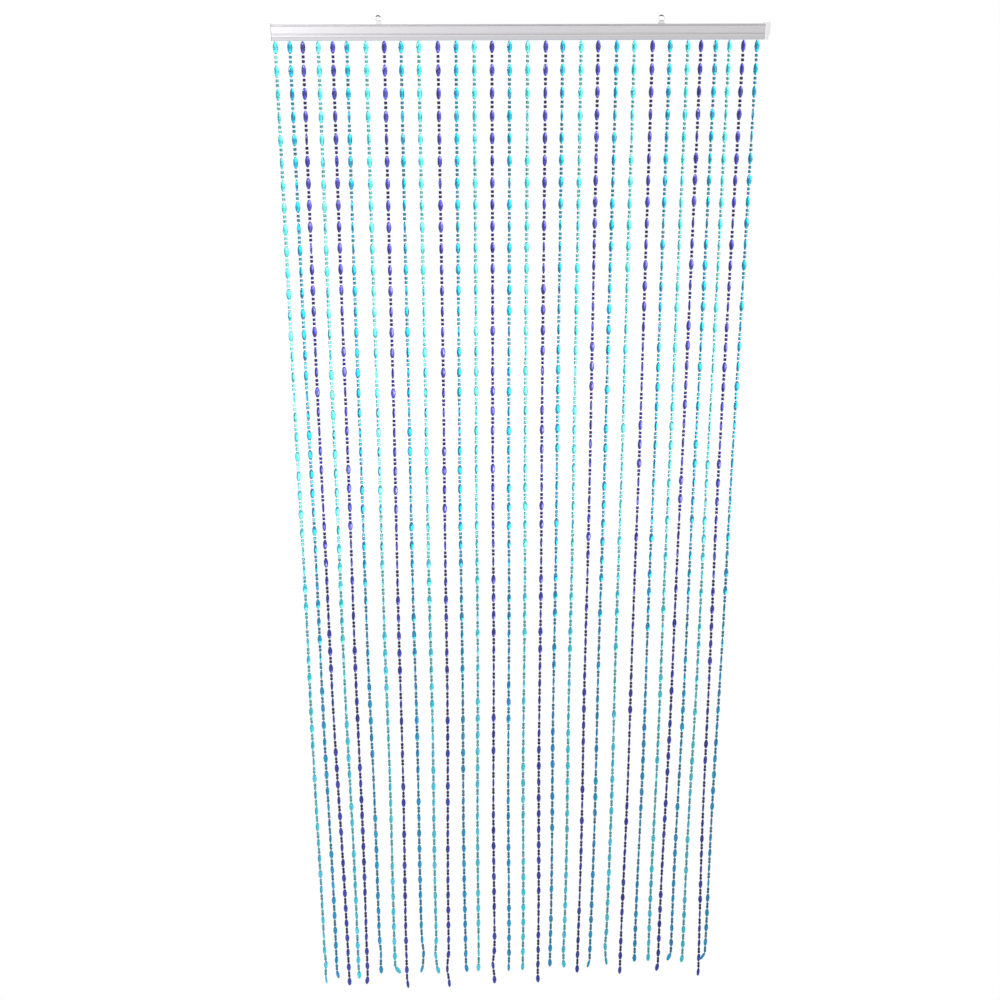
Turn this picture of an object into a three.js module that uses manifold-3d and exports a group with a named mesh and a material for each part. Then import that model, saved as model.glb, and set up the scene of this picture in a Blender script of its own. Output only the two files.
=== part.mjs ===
// Beaded string door curtain: a slim aluminium rail with moulded end caps and two hanging eyes,
// and thirty hanging strands of beads in three colours.
// Millimetres. +Z is up, +X is to the right and -Y is towards the room.
// The origin lies midway between the two eyes, at the height where their wires bear.
import * as THREE from "three";
import { mergeVertices } from "three/addons/utils/BufferGeometryUtils.js";
import Module from "manifold-3d";

const wasm = await Module();
wasm.setup();

// Driving dimensions
const CURTAIN_WIDTH = 900;
const GAP = 0.3;
const OVERLAP = 0.5;

const RAIL = {
  height: 27,
  depth: 20,
  wallInside: 8.3,
  ceiling: 22.2,
  lip: 1.5,
  slotHalf: 5,
};

// The rail's face, from its top edge down: how far each corner of its section is set in from
// the full depth, and how high it lies over the rail's underside.
const RAIL_FACE = [
  { inset: 0.5, up: RAIL.height },
  { inset: 0, up: 26.6 },
  { inset: 0, up: 26.3 },
  { inset: 1.5, up: 26.1 },
  { inset: 1.5, up: 25.1 },
  { inset: 0.7, up: 24.8 },
  { inset: 0, up: 24 },
  { inset: 0, up: 12.2 },
  { inset: 0.6, up: 11.7 },
  { inset: 0.6, up: 10.6 },
  { inset: -0.2, up: 9.4 },
  { inset: -0.2, up: 6.4 },
  { inset: 0.4, up: 5.2 },
  { inset: 0.9, up: 0.9 },
  { inset: 1.8, up: 0 },
];

const TOP_GROOVE = { floor: 23.6, roof: 25.6, half: 4.6, mouthHalf: 2.4 };

const CAP = {
  width: 9,
  lowerWidth: 6.4,
  stepTop: 10,
  stepBottom: 6,
  proudTop: 2,
  proudFace: 0.8,
  bevel: 0.8,
  bevelSteps: 2,
  plugLength: 12,
  plugBottom: 9,
};

const EYE = {
  fromCentre: 253,
  footBase: 12.6,
  footTop: 9.6,
  footHeight: 5.4,
  footDepth: 4,
  ringRadius: 4.75,
  wireRadius: 1,
  wireSides: 8,
  ringSteps: 20,
  sunk: 0.6,
  neckHalf: 2.1,
  headHalf: 4.3,
  leftTurn: 0.35,
  rightTurn: 0,
};

const STRANDS = {
  count: 30,
  sideGap: 25.1,
  middleGap: 32.3,
  sideGaps: 5,
  shift: -2.8,
  firstBead: 11.5,
  repeat: 39.8,
  modelledBeads: 26,
  sides: 3,
};

const BEAD = {
  length: 21,
  halfWidth: 4.7,
  halfDepth: 2.8,
  neck: 2.8,
  tip: 1.2,
};

const BACKING = {
  bottom: RAIL.lip + GAP,
  height: 4,
  length: 881,
  rootDepth: 1.7,
  stem: 0.9,
  sideInner: 2.85,
  sideOuter: RAIL.wallInside - GAP,
  flangeHalf: 6,
  flangeHeight: 1.5,
};

// One row for each colour: how deep in the curtain its strands hang, how many ovals each carries,
// and which of the three backing strips in the rail their roots are fused into.
const COLOURS = {
  aqua: { depthAt: -3.9, ovals: 51, colour: 0x35c4bf, strip: "front" },
  cyan: { depthAt: 0, ovals: 51, colour: 0x1a9be0, strip: "middle" },
  indigo: { depthAt: 3.9, ovals: 52, colour: 0x352fa8, strip: "back" },
};

// One row for each strand, from left to right. offset is how far it hangs to the right of an even
// spacing, sway how far its foot has moved to the right, bow how far its middle curves out to the
// right, extra how much longer it hangs than its colour's usual drop, bulge how far it bows out
// just above its foot, and tilt how many degrees its last bead swings to the right.
const STRAND_ROWS = [
  { offset: 0, sway: 2, bow: 1, extra: 10, bulge: 2, tilt: 5 },
  { offset: 0, sway: 3, bow: 0, extra: 5, bulge: 0, tilt: 8 },
  { offset: -2.5, sway: 8, bow: -4, extra: -13, bulge: 0, tilt: 0 },
  { offset: 0, sway: 3, bow: -2.5, extra: 1, bulge: 0, tilt: 4 },
  { offset: 0, sway: -3, bow: -2.5, extra: -12, bulge: 0, tilt: -8 },
  { offset: 0, sway: 2, bow: -2.5, extra: -5, bulge: 2, tilt: 3 },
  { offset: 1.5, sway: 1, bow: 0, extra: -5, bulge: 0, tilt: 34 },
  { offset: 1.5, sway: -6, bow: -1, extra: 4, bulge: 0, tilt: 8 },
  { offset: -1, sway: 0, bow: -1.5, extra: -2, bulge: 3, tilt: -12 },
  { offset: -2, sway: 1, bow: 0, extra: -2, bulge: -3, tilt: 12 },
  { offset: 0, sway: -7, bow: 1.5, extra: 7, bulge: -4, tilt: 6 },
  { offset: 0, sway: -1, bow: -1, extra: 2, bulge: 0, tilt: 6 },
  { offset: 0, sway: -5, bow: 0, extra: -4, bulge: 0, tilt: -3 },
  { offset: 0, sway: 0, bow: 0, extra: 3, bulge: -4, tilt: 2 },
  { offset: -1, sway: 1, bow: 0, extra: 5, bulge: 0, tilt: -3 },
  { offset: -1, sway: 0, bow: 0, extra: -1, bulge: 0, tilt: 0 },
  { offset: 0, sway: 3, bow: 0, extra: 6, bulge: 0, tilt: 3 },
  { offset: -2, sway: 0, bow: 0, extra: -2, bulge: 0, tilt: 0 },
  { offset: -1.5, sway: -1, bow: 0.5, extra: 4, bulge: -1, tilt: 5 },
  { offset: -2, sway: 0, bow: 2, extra: -16, bulge: 0, tilt: 0 },
  { offset: -1, sway: -6, bow: -1.5, extra: 6, bulge: 0, tilt: -12 },
  { offset: -2, sway: 0, bow: 0.5, extra: 2, bulge: -2, tilt: 10 },
  { offset: 0, sway: 0, bow: 2, extra: -7, bulge: 0, tilt: 0 },
  { offset: -1, sway: 0, bow: 1, extra: -4, bulge: 0, tilt: 0 },
  { offset: -1.5, sway: 0, bow: 0, extra: -3, bulge: 0, tilt: 0 },
  { offset: -1, sway: -2, bow: 1, extra: -10, bulge: 0, tilt: -8 },
  { offset: 0, sway: -1, bow: 0, extra: -2, bulge: 0, tilt: -22 },
  { offset: -1, sway: 2, bow: 1, extra: 5, bulge: 0, tilt: -4 },
  { offset: 1.5, sway: 15, bow: -3.5, extra: 9, bulge: 0, tilt: 0 },
  { offset: 0.5, sway: 2, bow: 0, extra: 1, bulge: 0, tilt: -26 },
];

// How a strand hangs between its root and its foot
const HANG = {
  swayPower: 2.2,
  bulgeAbove: 45,
  bulgeSpread: 28,
  waves: 1.2,
  waveTurns: 5,
  footDepthSway: 4,
  facingTurn: 0.35,
  turnStep: 0.9,
  turnBias: 0.3,
};

const RANDOM = { firstSeed: 101, seedStep: 7919, factor: 16807, modulus: 2147483647 };

// Sizes that follow from the ones above
const eyeCentre = GAP + EYE.footHeight + EYE.ringRadius - EYE.sunk;
const bearing = RAIL.height + eyeCentre + EYE.ringRadius - EYE.wireRadius;
const railLength = CURTAIN_WIDTH - 2 * (CAP.width + GAP);

// Turns a section drawn as (depth, height) so that its extrusion runs along X
const alongX = new THREE.Quaternion().setFromRotationMatrix(
  new THREE.Matrix4().makeBasis(
    new THREE.Vector3(0, 1, 0),
    new THREE.Vector3(0, 0, 1),
    new THREE.Vector3(1, 0, 0),
  ),
);

// Turns an outline drawn as (width, height) so that its extrusion runs along -Y
const alongY = new THREE.Quaternion().setFromAxisAngle(new THREE.Vector3(1, 0, 0), Math.PI / 2);

const finishes = {
  aluminium: new THREE.MeshStandardMaterial({ color: 0xc9cacc, roughness: 0.35, metalness: 1 }),
  cap: new THREE.MeshStandardMaterial({ color: 0xeeeeec, roughness: 0.45, metalness: 0 }),
  chrome: new THREE.MeshStandardMaterial({ color: 0xd8d8da, roughness: 0.12, metalness: 1 }),
};

function shapeOf(points) {
  return new THREE.Shape(points.map(([a, b]) => new THREE.Vector2(a, b)));
}

function toSolid(geometry) {
  const bare = geometry.index ? geometry.clone() : mergeVertices(geometry);
  bare.deleteAttribute("normal");
  bare.deleteAttribute("uv");
  const merged = mergeVertices(bare, 1e-4);
  return new wasm.Manifold(
    new wasm.Mesh({
      numProp: 3,
      vertProperties: new Float32Array(merged.attributes.position.array),
      triVerts: new Uint32Array(merged.index.array),
    }),
  );
}

function toGeometry(solid) {
  const mesh = solid.getMesh();
  const geometry = new THREE.BufferGeometry();
  geometry.setAttribute("position", new THREE.BufferAttribute(mesh.vertProperties, 3));
  geometry.setIndex(new THREE.BufferAttribute(mesh.triVerts, 1));
  geometry.computeVertexNormals();
  return geometry;
}

function joinAll(geometries) {
  const solids = geometries.map(toSolid);
  return toGeometry(solids.reduce((whole, next) => whole.add(next)));
}

function box(low, high) {
  const size = high.map((value, axis) => value - low[axis]);
  const geometry = new THREE.BoxGeometry(...size);
  geometry.translate(...high.map((value, axis) => (value + low[axis]) / 2));
  return geometry;
}

function piece(name, geometry, material) {
  const mesh = new THREE.Mesh(geometry, material);
  mesh.name = name;
  return mesh;
}

// The rail's section: a channel with in-turned lips below, a small T groove for the eyes above,
// a bead along each top edge, and a groove and a rib along each face.
function railSection() {
  const half = RAIL.depth / 2;
  const right = [
    [TOP_GROOVE.half, TOP_GROOVE.floor],
    [TOP_GROOVE.half, TOP_GROOVE.roof],
    [TOP_GROOVE.mouthHalf, TOP_GROOVE.roof],
    [TOP_GROOVE.mouthHalf, RAIL.height],
    ...RAIL_FACE.map(({ inset, up }) => [half - inset, up]),
    [RAIL.slotHalf, 0],
    [RAIL.slotHalf, RAIL.lip],
    [RAIL.wallInside, RAIL.lip],
    [RAIL.wallInside, RAIL.ceiling],
  ];
  const left = right.map(([across, up]) => [-across, up]).reverse();
  return shapeOf([...right, ...left]);
}

function makeRail() {
  const geometry = new THREE.ExtrudeGeometry(railSection(), { depth: railLength, bevelEnabled: false });
  const rail = piece("rail", geometry, finishes.aluminium);
  rail.quaternion.copy(alongX);
  rail.position.x = -railLength / 2;
  return rail;
}

// A moulded cap: a thick end plate whose lower outer corner steps in, and a plug for the channel.
function makeCap(name, side) {
  const outline = shapeOf([
    [0, 0],
    [CAP.lowerWidth, 0],
    [CAP.lowerWidth, CAP.stepBottom],
    [CAP.width, CAP.stepTop],
    [CAP.width, RAIL.height + CAP.proudTop],
    [0, RAIL.height + CAP.proudTop],
  ]);
  const depth = RAIL.depth + 2 * CAP.proudFace;
  const plate = new THREE.ExtrudeGeometry(outline, {
    depth: depth - 2 * CAP.bevel,
    bevelThickness: CAP.bevel,
    bevelSize: CAP.bevel,
    bevelOffset: -CAP.bevel,
    bevelSegments: CAP.bevelSteps,
  });
  plate.applyQuaternion(alongY);
  plate.translate(0, depth / 2 - CAP.bevel, 0);
  const plugHalf = RAIL.wallInside - GAP;
  const plug = box(
    [-CAP.plugLength, -plugHalf, CAP.plugBottom],
    [CAP.bevel + OVERLAP, plugHalf, RAIL.ceiling - GAP],
  );
  const cap = piece(name, joinAll([plate, plug]), finishes.cap);
  cap.position.x = side * (CURTAIN_WIDTH / 2 - CAP.width);
  cap.rotation.z = side < 0 ? Math.PI : 0;
  return cap;
}

// A hanging eye: a wire ring on a tapered foot, with a T-shaped tongue held in the rail's groove.
function makeEye(name, side, turn) {
  const foot = new THREE.ExtrudeGeometry(
    shapeOf([
      [-EYE.footBase / 2, GAP],
      [EYE.footBase / 2, GAP],
      [EYE.footTop / 2, GAP + EYE.footHeight],
      [-EYE.footTop / 2, GAP + EYE.footHeight],
    ]),
    { depth: EYE.footDepth, bevelEnabled: false },
  );
  foot.applyQuaternion(alongY);
  foot.translate(0, EYE.footDepth / 2, 0);
  const ring = new THREE.TorusGeometry(EYE.ringRadius, EYE.wireRadius, EYE.wireSides, EYE.ringSteps);
  ring.rotateX(Math.PI / 2);
  ring.rotateZ(turn);
  ring.translate(0, 0, eyeCentre);
  const grooveFloor = TOP_GROOVE.floor - RAIL.height + GAP;
  const grooveRoof = TOP_GROOVE.roof - RAIL.height - GAP;
  const half = EYE.footBase / 2;
  const neck = box([-half, -EYE.neckHalf, grooveRoof - OVERLAP], [half, EYE.neckHalf, GAP + OVERLAP]);
  const head = box([-half, -EYE.headHalf, grooveFloor], [half, EYE.headHalf, grooveRoof]);
  const eye = piece(name, joinAll([foot, ring, neck, head]), finishes.chrome);
  eye.position.set(side * EYE.fromCentre, 0, RAIL.height);
  return eye;
}

// A repeatable stream of numbers from 0 to 1
function seededNumbers(seed) {
  let state = seed;
  return () => {
    state = (state * RANDOM.factor) % RANDOM.modulus;
    return state / RANDOM.modulus;
  };
}

function colourOf(index) {
  const opening = ["aqua", "cyan", "indigo"];
  const repeated = ["aqua", "indigo", "cyan"];
  return index < 3 ? opening[index] : repeated[index % 3];
}

// Strands stand closer together in the five gaps at each side than in the middle.
function strandPositions() {
  const gaps = [];
  for (let i = 1; i < STRANDS.count; i += 1) {
    const side = i <= STRANDS.sideGaps || i >= STRANDS.count - STRANDS.sideGaps;
    gaps.push(side ? STRANDS.sideGap : STRANDS.middleGap);
  }
  const span = gaps.reduce((sum, gap) => sum + gap, 0);
  const positions = [STRANDS.shift - span / 2];
  gaps.forEach((gap) => positions.push(positions.at(-1) + gap));
  return positions;
}

// The stations of a strand from its root down: height, half sizes, turn about the string and place.
function strandStations(row, colour, draw) {
  const drop = (colour.ovals - 1) * STRANDS.repeat + row.extra;
  const phase = draw() * Math.PI * 2;
  const depthSway = (draw() - 0.5) * 2 * HANG.footDepthSway;
  const place = (down) => {
    const share = Math.max(down, 0) / (drop + STRANDS.firstBead);
    const fromBulge = (drop + STRANDS.firstBead - HANG.bulgeAbove - down) / HANG.bulgeSpread;
    const wave = HANG.waves * share * Math.sin(phase + share * HANG.waveTurns * Math.PI);
    const curve = row.bow * Math.sin(share * Math.PI) + row.bulge * Math.exp(-(fromBulge ** 2));
    return {
      x: row.offset + row.sway * share ** HANG.swayPower + wave + curve,
      y: colour.depthAt + depthSway * share ** HANG.swayPower,
    };
  };
  const stations = [{ down: -BACKING.bottom - BACKING.rootDepth, size: "stem", turn: 0, ...place(0) }];
  let turn = (draw() - 0.5) * HANG.facingTurn;
  for (let bead = 0; bead < STRANDS.modelledBeads; bead += 1) {
    const last = bead === STRANDS.modelledBeads - 1;
    const centre = STRANDS.firstBead + (drop * bead) / (STRANDS.modelledBeads - 1);
    const reach = BEAD.length / 2;
    stations.push({ down: centre - reach, size: bead ? "neck" : "stem", turn, ...place(centre - reach) });
    stations.push({ down: centre, size: "belly", turn, ...place(centre) });
    stations.push({ down: centre + reach, size: last ? "tip" : "neck", turn, ...place(centre + reach) });
    turn += (draw() - HANG.turnBias) * HANG.turnStep;
  }
  swingLastBead(stations.slice(-3), THREE.MathUtils.degToRad(row.tilt));
  return stations;
}

// The last bead swings about its own upper end.
function swingLastBead([top, belly, tip], tilt) {
  [belly, tip].forEach((station) => {
    const below = station.down - top.down;
    station.x = top.x + below * Math.sin(tilt);
    station.down = top.down + below * Math.cos(tilt);
  });
}

const halfSizes = {
  stem: [BACKING.stem, BACKING.stem],
  neck: [BEAD.neck, BEAD.neck],
  belly: [BEAD.halfWidth, BEAD.halfDepth],
  tip: [BEAD.tip, BEAD.tip],
};

// A strand is a three-sided tube whose rings are set to its stations, one after another.
function strandGeometry(stations, across) {
  const geometry = new THREE.CylinderGeometry(1, 1, 1, STRANDS.sides, stations.length - 1);
  const points = geometry.attributes.position;
  const corner = new THREE.Vector2();
  for (let i = 0; i < points.count; i += 1) {
    const ring = Math.round((0.5 - points.getY(i)) * (stations.length - 1));
    const station = stations[ring];
    const [halfWidth, halfDepth] = halfSizes[station.size];
    corner.set(points.getX(i) * halfWidth, -points.getZ(i) * halfDepth);
    corner.rotateAround(new THREE.Vector2(), station.turn);
    points.setXYZ(i, across + station.x + corner.x, station.y + corner.y, -station.down);
  }
  return geometry;
}

// The backing strips lie side by side on the rail's lips, and the middle one has a T section
// whose flange lies across the other two.
function stripSection(place) {
  const low = BACKING.bottom;
  const high = BACKING.bottom + BACKING.height;
  if (place === "middle") {
    const neck = BACKING.sideInner - GAP;
    const flange = BACKING.flangeHalf;
    const flangeTop = high + GAP + BACKING.flangeHeight;
    return shapeOf([
      [-neck, low],
      [neck, low],
      [neck, high + GAP],
      [flange, high + GAP],
      [flange, flangeTop],
      [-flange, flangeTop],
      [-flange, high + GAP],
      [-neck, high + GAP],
    ]);
  }
  const side = place === "front" ? -1 : 1;
  const [near, far] = [side * BACKING.sideInner, side * BACKING.sideOuter].sort((a, b) => a - b);
  return shapeOf([
    [near, low],
    [far, low],
    [far, high],
    [near, high],
  ]);
}

function makeStrands(name, colourName) {
  const colour = COLOURS[colourName];
  const strip = new THREE.ExtrudeGeometry(stripSection(colour.strip), {
    depth: BACKING.length,
    bevelEnabled: false,
  });
  strip.applyQuaternion(alongX);
  strip.translate(-BACKING.length / 2, 0, 0);
  const positions = strandPositions();
  const strands = STRAND_ROWS.map((row, index) => ({ row, index }))
    .filter(({ index }) => colourOf(index) === colourName)
    .map(({ row, index }) => {
      const draw = seededNumbers(RANDOM.firstSeed + RANDOM.seedStep * index);
      return strandGeometry(strandStations(row, colour, draw), positions[index]);
    });
  const material = new THREE.MeshStandardMaterial({
    color: colour.colour,
    roughness: 0.25,
    metalness: 0,
  });
  return piece(name, joinAll([strip, ...strands]), material);
}

const group = new THREE.Group();
group.position.z = -bearing;
group.add(makeRail());
group.add(makeCap("end_cap_left", -1));
group.add(makeCap("end_cap_right", 1));
group.add(makeEye("hanging_eye_left", -1, EYE.leftTurn));
group.add(makeEye("hanging_eye_right", 1, EYE.rightTurn));
group.add(makeStrands("aqua_strands", "aqua"));
group.add(makeStrands("cyan_strands", "cyan"));
group.add(makeStrands("indigo_strands", "indigo"));

export default group;
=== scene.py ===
"""Dresses a beaded string door curtain: thirty hanging strings of translucent beads on a slim rail.

Everything is in metres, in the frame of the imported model: +Z up, +X to the right and -Y towards the
room, with the origin midway between the two hanging eyes.
"""

from __future__ import annotations

import logging
import math
from dataclasses import dataclass, field
from enum import Enum
from typing import Callable, Iterable, Sequence

import bmesh
import bpy
from mathutils import Matrix, Vector

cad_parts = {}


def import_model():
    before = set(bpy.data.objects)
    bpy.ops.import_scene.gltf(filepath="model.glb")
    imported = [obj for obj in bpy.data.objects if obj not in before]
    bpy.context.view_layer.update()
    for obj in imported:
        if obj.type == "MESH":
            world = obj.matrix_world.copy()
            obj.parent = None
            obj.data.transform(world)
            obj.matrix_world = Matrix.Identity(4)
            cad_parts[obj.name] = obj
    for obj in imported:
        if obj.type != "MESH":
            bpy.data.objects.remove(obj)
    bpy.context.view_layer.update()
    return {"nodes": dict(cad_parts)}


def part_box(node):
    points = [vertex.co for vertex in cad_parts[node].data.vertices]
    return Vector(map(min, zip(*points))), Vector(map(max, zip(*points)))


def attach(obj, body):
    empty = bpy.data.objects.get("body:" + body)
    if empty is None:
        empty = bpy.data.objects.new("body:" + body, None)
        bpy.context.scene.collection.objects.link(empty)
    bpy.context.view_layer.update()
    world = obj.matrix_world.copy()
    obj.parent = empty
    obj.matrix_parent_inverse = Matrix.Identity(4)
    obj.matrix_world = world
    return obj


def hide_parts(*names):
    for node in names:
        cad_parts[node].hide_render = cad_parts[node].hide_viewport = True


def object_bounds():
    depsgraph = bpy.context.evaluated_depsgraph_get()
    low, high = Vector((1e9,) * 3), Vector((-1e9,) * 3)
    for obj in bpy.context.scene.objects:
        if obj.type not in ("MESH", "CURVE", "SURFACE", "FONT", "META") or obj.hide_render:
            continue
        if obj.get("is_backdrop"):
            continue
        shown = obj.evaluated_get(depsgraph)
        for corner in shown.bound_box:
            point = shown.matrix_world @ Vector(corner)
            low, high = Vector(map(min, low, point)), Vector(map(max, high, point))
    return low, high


LOG = logging.getLogger("door_curtain")
MM = 0.001
BODY = "root"

Colour = tuple[float, float, float]
Limits = tuple[float, float]
Corners = list[bmesh.types.BMVert]
Material = bpy.types.Material
Mesh = bpy.types.Mesh
Node = bpy.types.Node
NodeTree = bpy.types.NodeTree
Socket = bpy.types.NodeSocket
Thing = bpy.types.Object

WHITE: Colour = (1.0, 1.0, 1.0)


class StrandColour(Enum):
    """The three colours of strand, by the name that starts their nodes and material slots."""

    AQUA = "aqua"
    CYAN = "cyan"
    INDIGO = "indigo"


class BeadForm(Enum):
    """The two forms of bead on a strand."""

    OVAL = "ovals"
    SPACER = "spacers"


class StripPlace(Enum):
    """Where in the rail a colour's backing strip lies."""

    FRONT = -1
    MIDDLE = 0
    BACK = 1


# Node helpers


@dataclass(frozen=True)
class Fade:
    """A smooth change from a low result to a high one as a value crosses a range."""

    start: float
    end: float
    low: float | Socket
    high: float


def rgba(colour: Colour) -> tuple[float, float, float, float]:
    """Gives a colour an alpha of 1."""
    return (*colour, 1.0)


def of_type(sockets: Iterable[Socket], kind: str) -> list[Socket]:
    """Picks the sockets of one type from a node that has a set of them for each type."""
    return [socket for socket in sockets if socket.type == kind]


def new_socket(tree: NodeTree, name: str, way: str, kind: str) -> None:
    """Adds a socket to a node group.

    Args:
        tree: the node group.
        name: the socket's name.
        way: INPUT or OUTPUT.
        kind: what it holds, such as Float or Geometry.
    """
    tree.interface.new_socket(name=name, in_out=way, socket_type="NodeSocket" + kind)


class TreeBuilder:
    """Adds nodes to a tree of any kind and links them."""

    def __init__(self, tree: NodeTree) -> None:
        """Keeps the tree to build in."""
        self.tree = tree

    def add(self, kind: str, links: dict[str | int, object] | None = None, **settings: object) -> Node:
        """Adds a node, sets its properties, and fills its inputs with links or plain values.

        Args:
            kind: the node's class name.
            links: a socket or a plain value for each of its inputs, by name or index.
            **settings: properties of the node, by name.

        Returns:
            The new node.
        """
        made = self.tree.nodes.new(kind)
        for key, value in settings.items():
            setattr(made, key, value)
        for key, source in (links or {}).items():
            self.feed(made.inputs[key], source)
        return made

    def feed(self, target: Socket, source: object) -> None:
        """Links a socket to an input, or sets the input to a plain value."""
        if isinstance(source, Socket):
            self.tree.links.new(source, target)
        else:
            target.default_value = source

    def math(self, operation: str, *values: object) -> Socket:
        """Works out a number from sockets or plain numbers with a Math node."""
        return self.add("ShaderNodeMath", dict(enumerate(values)), operation=operation).outputs["Value"]

    def fade(self, value: Socket, fade: Fade) -> Socket:
        """Follows a fade as a value crosses its range."""
        sockets = {"Value": value, "From Min": fade.start, "From Max": fade.end}
        sockets.update({"To Min": fade.low, "To Max": fade.high})
        return self.add("ShaderNodeMapRange", sockets, interpolation_type="SMOOTHSTEP").outputs["Result"]

    def axes(self, coordinates: str) -> Sequence[Socket]:
        """Gives the X, Y and Z of one kind of texture coordinates."""
        place = self.add("ShaderNodeTexCoord").outputs[coordinates]
        return self.add("ShaderNodeSeparateXYZ", {"Vector": place}).outputs

    def white_to_camera(self, lit: Node, output: str) -> None:
        """Puts out a light, with plain white in its place for the camera's own rays.

        Args:
            lit: the node that gives the light.
            output: the name of the tree's output node.
        """
        plain = self.add(lit.bl_idname, {"Color": rgba(WHITE), "Strength": 1.0})
        seen = self.add("ShaderNodeLightPath").outputs["Is Camera Ray"]
        mixed = self.add("ShaderNodeMixShader", {0: seen, 1: lit.outputs[0], 2: plain.outputs[0]})
        self.feed(self.tree.nodes[output].inputs["Surface"], mixed.outputs[0])


# Finishes


@dataclass(frozen=True)
class Grain:
    """How a finish uses the shared grain: its scale, its stretch along X and its contrast."""

    scale: float
    stretch: float = 1.0
    contrast: float = 1.0


class FinishBuilder(TreeBuilder):
    """Builds one material round its Principled BSDF."""

    def __init__(self, name: str) -> None:
        """Starts a material with only a Principled BSDF and its output."""
        self.material = bpy.data.materials.new(name)
        self.material.use_nodes = True
        super().__init__(self.material.node_tree)
        self.shader = self.tree.nodes["Principled BSDF"]

    def set(self, **values: object) -> None:
        """Fills the shader's own sockets, by name with underscores for spaces."""
        for key, value in values.items():
            self.feed(self.shader.inputs[key.replace("_", " ")], value)

    def grained(self, group: NodeTree, grain: Grain) -> Socket:
        """Places the shared grain group with a finish's own values, and gives its result."""
        values = {"Scale": grain.scale, "Stretch": grain.stretch, "Contrast": grain.contrast}
        return self.add("ShaderNodeGroup", values, node_tree=group).outputs["Value"]

    def mix(self, factor: Socket, low: Socket | Colour, high: Socket | Colour) -> Socket:
        """Mixes two colours by a value from 0 to 1 that changes over the surface."""
        mixer = self.add("ShaderNodeMix", {0: factor}, data_type="RGBA")
        for target, colour in zip(of_type(mixer.inputs, "RGBA"), (low, high)):
            self.feed(target, colour if isinstance(colour, Socket) else rgba(colour))
        return of_type(mixer.outputs, "RGBA")[0]

    def spread(self, value: Socket, low: float, high: float) -> Socket:
        """Spreads a value from 0 to 1 evenly between two limits."""
        sockets = {"Value": value, "To Min": low, "To Max": high}
        return self.add("ShaderNodeMapRange", sockets).outputs["Result"]

    def bump(self, height: Socket, strength: float, depth: float) -> None:
        """Feeds a height to the shader's normal, with a depth in metres."""
        sockets = {"Height": height, "Strength": strength, "Distance": depth}
        self.set(Normal=self.add("ShaderNodeBump", sockets).outputs["Normal"])


def surface_grain() -> NodeTree:
    """Builds the shared group for streaks and mottling that follow a piece's Object coordinates.

    Returns:
        A node group that puts out a value near 0.5 that changes over the surface.
    """
    tree = bpy.data.node_groups.new("surface_grain", "ShaderNodeTree")
    for name in ("Scale", "Stretch", "Contrast"):
        new_socket(tree, name, "INPUT", "Float")
    new_socket(tree, "Value", "OUTPUT", "Float")
    build = TreeBuilder(tree)
    given = build.add("NodeGroupInput").outputs
    place = build.add("ShaderNodeTexCoord").outputs["Object"]
    squeeze = build.add("ShaderNodeCombineXYZ", {"X": given["Stretch"], "Y": 1.0, "Z": 1.0}).outputs["Vector"]
    scaled = build.add("ShaderNodeVectorMath", {0: place, 1: squeeze}, operation="MULTIPLY").outputs["Vector"]
    noise = build.add("ShaderNodeTexNoise", {"Vector": scaled, "Scale": given["Scale"], "Detail": 3.0})
    centred = build.math("SUBTRACT", noise.outputs["Fac"], 0.5)
    value = build.math("MULTIPLY_ADD", centred, given["Contrast"], 0.5)
    value.node.use_clamp = True
    build.add("NodeGroupOutput", {"Value": value})
    return tree


@dataclass(frozen=True)
class Finish:
    """A material whose tone and roughness follow the shared grain.

    Roughness holds its limits where the grain is 0 and 1, and plain holds the shader's sockets that
    are the same all over, by name with underscores for spaces.
    """

    name: str
    light: Colour
    dark: Colour
    grain: Grain
    roughness: Limits
    plain: dict[str, float] = field(default_factory=dict)
    bump_strength: float = 0.0
    bump_depth: float = 0.0

    def colour(self, build: FinishBuilder, tone: Socket) -> Socket:
        """Gives the base colour for a tone from 0, dark, to 1, light."""
        return build.mix(tone, self.dark, self.light)

    def make(self, group: NodeTree) -> Material:
        """Builds the material with the shared grain group."""
        build = FinishBuilder(self.name)
        grain = build.grained(group, self.grain)
        roughness = build.spread(grain, *self.roughness)
        build.set(Base_Color=self.colour(build, grain), Roughness=roughness, **self.plain)
        if self.bump_strength:
            build.bump(grain, self.bump_strength, self.bump_depth)
        return build.material


@dataclass(frozen=True)
class TopShadedWire(Finish):
    """Bright plated steel with painted shade that darkens the wire towards its top."""

    # painted shade: the dark colour mixed in towards the top of the wire
    painted_shade_colour: Colour = (0.05, 0.05, 0.055)
    painted_top_shade: Fade = Fade(-1.4 * MM, 0.2 * MM, 0.0, 1.0)

    def colour(self, build: FinishBuilder, tone: Socket) -> Socket:
        """Gives the bright colour, darkened with height by painted shade."""
        painted_top_shade = build.fade(build.axes("Object")["Z"], self.painted_top_shade)
        return build.mix(painted_top_shade, super().colour(build, tone), self.painted_shade_colour)


@dataclass(frozen=True)
class BeadPlastic(Finish):
    """Coloured clear plastic for one form of bead, with a tone for each bead and each facet."""

    grain: Grain = Grain(500.0)
    roughness: Limits = (0.02, 0.08)
    plain: dict[str, float] = field(
        default_factory=lambda: {"IOR": 1.49, "Specular_IOR_Level": 0.2, "Transmission_Weight": 0.97}
    )
    bead_share: float = 0.35
    facet_share: float = 0.6
    mottle: Limits = (-0.1, 0.15)

    def colour(self, build: FinishBuilder, tone: Socket) -> Socket:
        """Adds the bead's and the facet's own tones to the plastic's mottle."""
        facet = build.add("ShaderNodeAttribute", attribute_name="facet_tone").outputs["Fac"]
        bead = build.add("ShaderNodeAttribute", attribute_name="bead_tone").outputs["Fac"]
        of_bead = build.math("MULTIPLY_ADD", bead, self.bead_share, build.spread(tone, *self.mottle))
        of_facet = build.math("MULTIPLY_ADD", facet, self.facet_share, of_bead)
        of_facet.node.use_clamp = True
        return super().colour(build, of_facet)


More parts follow.
